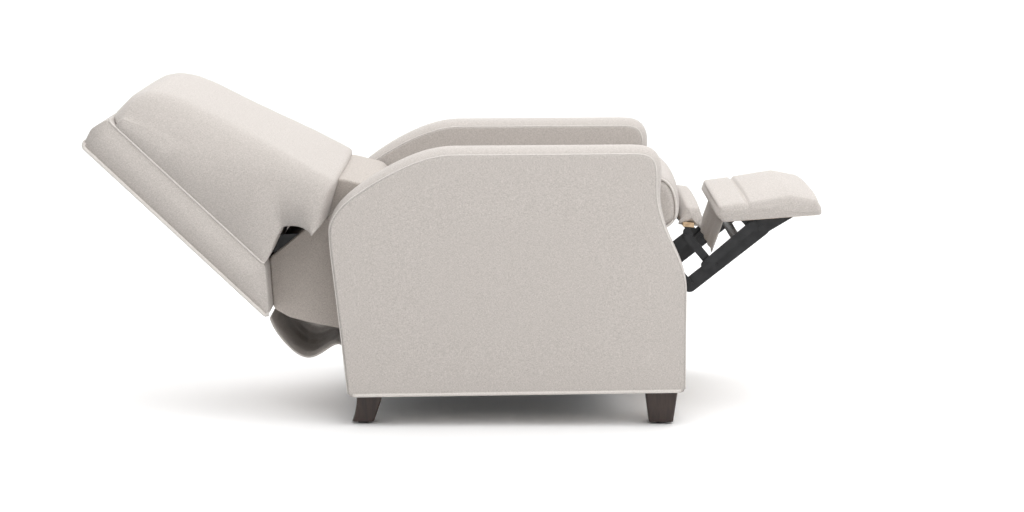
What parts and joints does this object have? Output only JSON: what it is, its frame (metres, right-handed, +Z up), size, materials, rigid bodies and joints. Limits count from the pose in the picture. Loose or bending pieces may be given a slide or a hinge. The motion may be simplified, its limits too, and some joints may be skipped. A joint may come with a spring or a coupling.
{
  "type": "recliner armchair",
  "caption": "Upholstered push-back recliner armchair with rounded arms, wooden legs, a reclining back and a folding linked footrest.",
  "frame": {"origin": "on the floor, at the middle of the chair's width and of its full reclined length", "axes": "+X to the sitter's left, -Y the way the sitter faces, +Z up"},
  "size_m": [0.775, 1.6923, 0.758],
  "materials": {
    "fabric": "woven linen look upholstery",
    "lining": "black lining cloth",
    "webbing": "elastic webbing",
    "leg_wood": "espresso stained satin",
    "frame_wood": "raw plywood",
    "black_steel": "black powder coat",
    "bright_steel": "zinc plated",
    "glide": "moulded"
  },
  "bodies": {
    "base": {"arm_frame_right": "frame_wood", "arm_frame_left": "frame_wood", "arm_padding_right": "fabric", "arm_padding_left": "fabric", "front_rail": "frame_wood", "rear_rail": "frame_wood", "dust_cover": "lining", "front_leg_right": "leg_wood", "front_leg_left": "leg_wood", "rear_leg_right": "leg_wood", "rear_leg_left": "leg_wood", "leg_glides": "glide", "leg_bolts": "bright_steel", "base_plates": "black_steel", "base_plate_bolts": "bright_steel", "base_cross_tube": "black_steel", "recline_pivots": "bright_steel", "rear_flap": "fabric"},
    "seat": {"seat_side_rail_right": "frame_wood", "seat_side_rail_left": "frame_wood", "seat_front_rail": "frame_wood", "seat_rear_rail": "frame_wood", "seat_plates": "black_steel", "seat_plate_screws": "bright_steel", "lift_rollers": "bright_steel", "lower_pivot_rivets": "bright_steel", "seat_springs": "bright_steel", "spring_clips": "bright_steel", "seat_cushion": "fabric"},
    "back": {"back_panel": "fabric", "back_boxing": "fabric", "back_frame": "frame_wood", "back_webbing": "webbing", "back_brackets": "black_steel", "back_pad": "fabric", "lower_back_pad": "fabric"},
    "lower_link": {"lower_links": "black_steel", "torque_tube": "black_steel", "lower_link_rivets": "bright_steel"},
    "upper_link": {"upper_links": "black_steel", "upper_link_rivets": "bright_steel"},
    "front_link": {"front_links": "black_steel", "stabiliser_tube": "black_steel", "front_link_rivets": "bright_steel"},
    "mid_link": {"mid_links": "black_steel", "mid_link_rivets": "bright_steel", "mid_footrest_board": "frame_wood", "mid_footrest_pad": "fabric"},
    "control_link": {"control_links": "black_steel", "control_link_rivets": "bright_steel"},
    "footrest": {"footrest_brackets": "black_steel", "footrest_board": "frame_wood", "footrest_pad": "fabric", "footrest_apron": "fabric"}
  },
  "joints": [
    {"name": "back_recline", "type": "hinge", "parent": "base", "child": "back", "pos_m": [0, 0.196, 0.417], "axis": [1, 0, 0], "range_deg": [0, 38], "deforming": ["rear_flap"]},
    {"name": "seat_tilt", "type": "hinge", "parent": "base", "child": "seat", "pos_m": [0, 0.196, 0.417], "axis": [1, 0, 0], "range_deg": [0, 5.01]},
    {"name": "footrest_fold", "type": "hinge", "parent": "seat", "child": "lower_link", "pos_m": [0, -0.386, 0.404], "axis": [1, 0, 0], "range_deg": [0, 105]},
    {"name": "front_link_pivot", "type": "hinge", "parent": "lower_link", "child": "front_link", "pos_m": [0, -0.536, 0.304], "axis": [1, 0, 0], "range_deg": [-65.05, 0]},
    {"name": "upper_link_pivot", "type": "hinge", "parent": "lower_link", "child": "upper_link", "pos_m": [0, -0.4766, 0.3748], "axis": [1, 0, 0], "range_deg": [-65.05, 0]},
    {"name": "mid_link_pivot", "type": "hinge", "parent": "upper_link", "child": "mid_link", "pos_m": [0, -0.531, 0.418], "axis": [1, 0, 0], "range_deg": [0, 65.05]},
    {"name": "control_link_pivot", "type": "hinge", "parent": "mid_link", "child": "control_link", "pos_m": [0, -0.57233, 0.35307], "axis": [1, 0, 0], "range_deg": [-65.75, 0]},
    {"name": "footrest_pivot", "type": "hinge", "parent": "front_link", "child": "footrest", "pos_m": [0, -0.70426, 0.43784], "axis": [1, 0, 0], "range_deg": [0, 49.05], "deforming": ["footrest_apron"]}
  ],
  "couplings": [
    {"joint": "seat_tilt", "follows": "back_recline", "ratio": 0.13158},
    {"joint": "front_link_pivot", "follows": "footrest_fold", "ratio": -0.61905},
    {"joint": "upper_link_pivot", "follows": "footrest_fold", "ratio": -0.61905},
    {"joint": "mid_link_pivot", "follows": "footrest_fold", "ratio": 0.61905},
    {"joint": "control_link_pivot", "follows": "footrest_fold", "ratio": -0.62571},
    {"joint": "footrest_pivot", "follows": "footrest_fold", "ratio": 0.46667}
  ]
}
